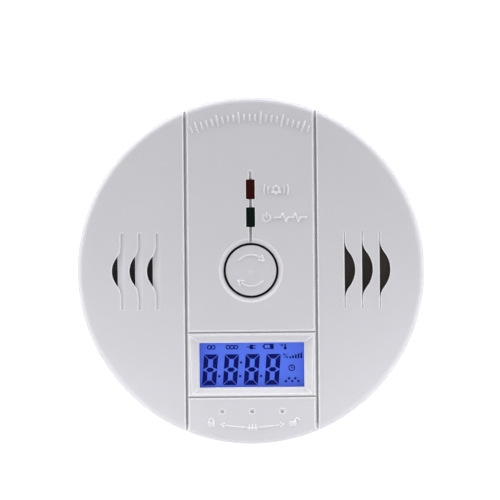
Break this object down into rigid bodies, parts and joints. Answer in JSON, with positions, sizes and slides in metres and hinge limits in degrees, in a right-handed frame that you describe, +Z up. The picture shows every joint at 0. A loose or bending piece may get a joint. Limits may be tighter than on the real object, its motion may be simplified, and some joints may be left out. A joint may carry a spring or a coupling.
{
  "type": "carbon monoxide detector",
  "caption": "Round wall-mounted carbon monoxide detector with a lit display, test button, indicator lamps, sound and gas vents, battery bay and twist-lock bracket.",
  "frame": {"origin": "on the wall plane, at the back of the wall bracket, midway between its two screw slots", "axes": "+Z up, +X to the right of someone who faces the detector, +Y into the wall; the face looks along -Y"},
  "size_m": [0.1, 0.038, 0.1],
  "materials": {
    "case_plastic": "fine satin, cool off-white",
    "bracket_plastic": "fine satin, off-white",
    "button_plastic": "fine satin, cool off-white",
    "black_plastic": "matte moulded",
    "dark_plastic": "matte moulded",
    "clear_acrylic": "clear and polished",
    "display_glass": "polished, lit blue from behind",
    "light_guide": "lit blue",
    "tinned_wire": "tinned",
    "red_lens": "deep red, unlit",
    "green_lens": "deep green, unlit",
    "sounder_plastic": "matte brown-black",
    "brass_disc": "rolled",
    "piezo_ceramic": "fired and silvered",
    "sensor_steel": "drawn",
    "filter_cloth": "black open weave",
    "board_laminate": "green solder mask",
    "capacitor_sleeve": "dark sleeve",
    "ferrite": "sintered",
    "copper_wire": "enamelled copper",
    "cell_jacket": "sleeved",
    "spring_wire": "nickel-plated",
    "contact_plate": "nickel-plated",
    "red_lead": "soft sleeve",
    "black_lead": "soft sleeve",
    "zinc_screw": "zinc-plated"
  },
  "bodies": {
    "bracket": {"mounting_bracket": "bracket_plastic"},
    "test_button": {"test_button": "button_plastic"},
    "switch_plunger": {"switch_plunger": "dark_plastic"},
    "battery_door": {"battery_door": "case_plastic"},
    "housing": {"rear_cover": "case_plastic", "front_cover": "case_plastic", "switch_body": "black_plastic", "lcd_window": "clear_acrylic", "lcd_front_glass": "display_glass", "lcd_rear_glass": "display_glass", "lcd_backlight": "light_guide", "lcd_frame": "dark_plastic", "lcd_pins": "tinned_wire", "alarm_led": "red_lens", "operate_led": "green_lens", "led_legs": "tinned_wire", "sounder_case": "sounder_plastic", "sounder_disc": "brass_disc", "sounder_ceramic": "piezo_ceramic", "sounder_retainer": "sounder_plastic", "sensor_can": "sensor_steel", "sensor_cap": "sensor_steel", "sensor_pins": "tinned_wire", "dust_filter": "filter_cloth", "circuit_board": "board_laminate", "controller_chip": "black_plastic", "driver_chip": "black_plastic", "capacitors": "capacitor_sleeve", "coil_core": "ferrite", "coil_winding": "copper_wire", "crystal_can": "sensor_steel", "chip_resistors": "black_plastic", "battery_cell_1": "cell_jacket", "battery_cell_2": "cell_jacket", "battery_cell_3": "cell_jacket", "battery_springs": "spring_wire", "battery_link_right": "contact_plate", "battery_link_left": "contact_plate", "positive_terminal": "contact_plate", "negative_terminal": "contact_plate", "positive_lead": "red_lead", "negative_lead": "black_lead", "sounder_leads": "black_lead", "case_screws": "zinc_screw", "board_screws": "zinc_screw"}
  },
  "joints": [
    {"name": "twist_lock", "type": "hinge", "parent": "bracket", "child": "housing", "pos_m": [0, 0, 0], "axis": [0, -1, 0], "range_deg": [0, 16]},
    {"name": "button_press", "type": "slide", "parent": "housing", "child": "test_button", "axis": [0, 1, 0], "range_m": [0, 0.0005], "stiffness_N_per_m": 2000},
    {"name": "switch_travel", "type": "slide", "parent": "housing", "child": "switch_plunger", "axis": [0, 1, 0], "range_m": [0, 0.0005]},
    {"name": "battery_door_hinge", "type": "hinge", "parent": "housing", "child": "battery_door", "pos_m": [0, -0.0037, 0.0216], "axis": [1, 0, 0], "range_deg": [0, 95]}
  ],
  "couplings": [
    {"joint": "switch_travel", "follows": "button_press", "ratio": 1}
  ]
}
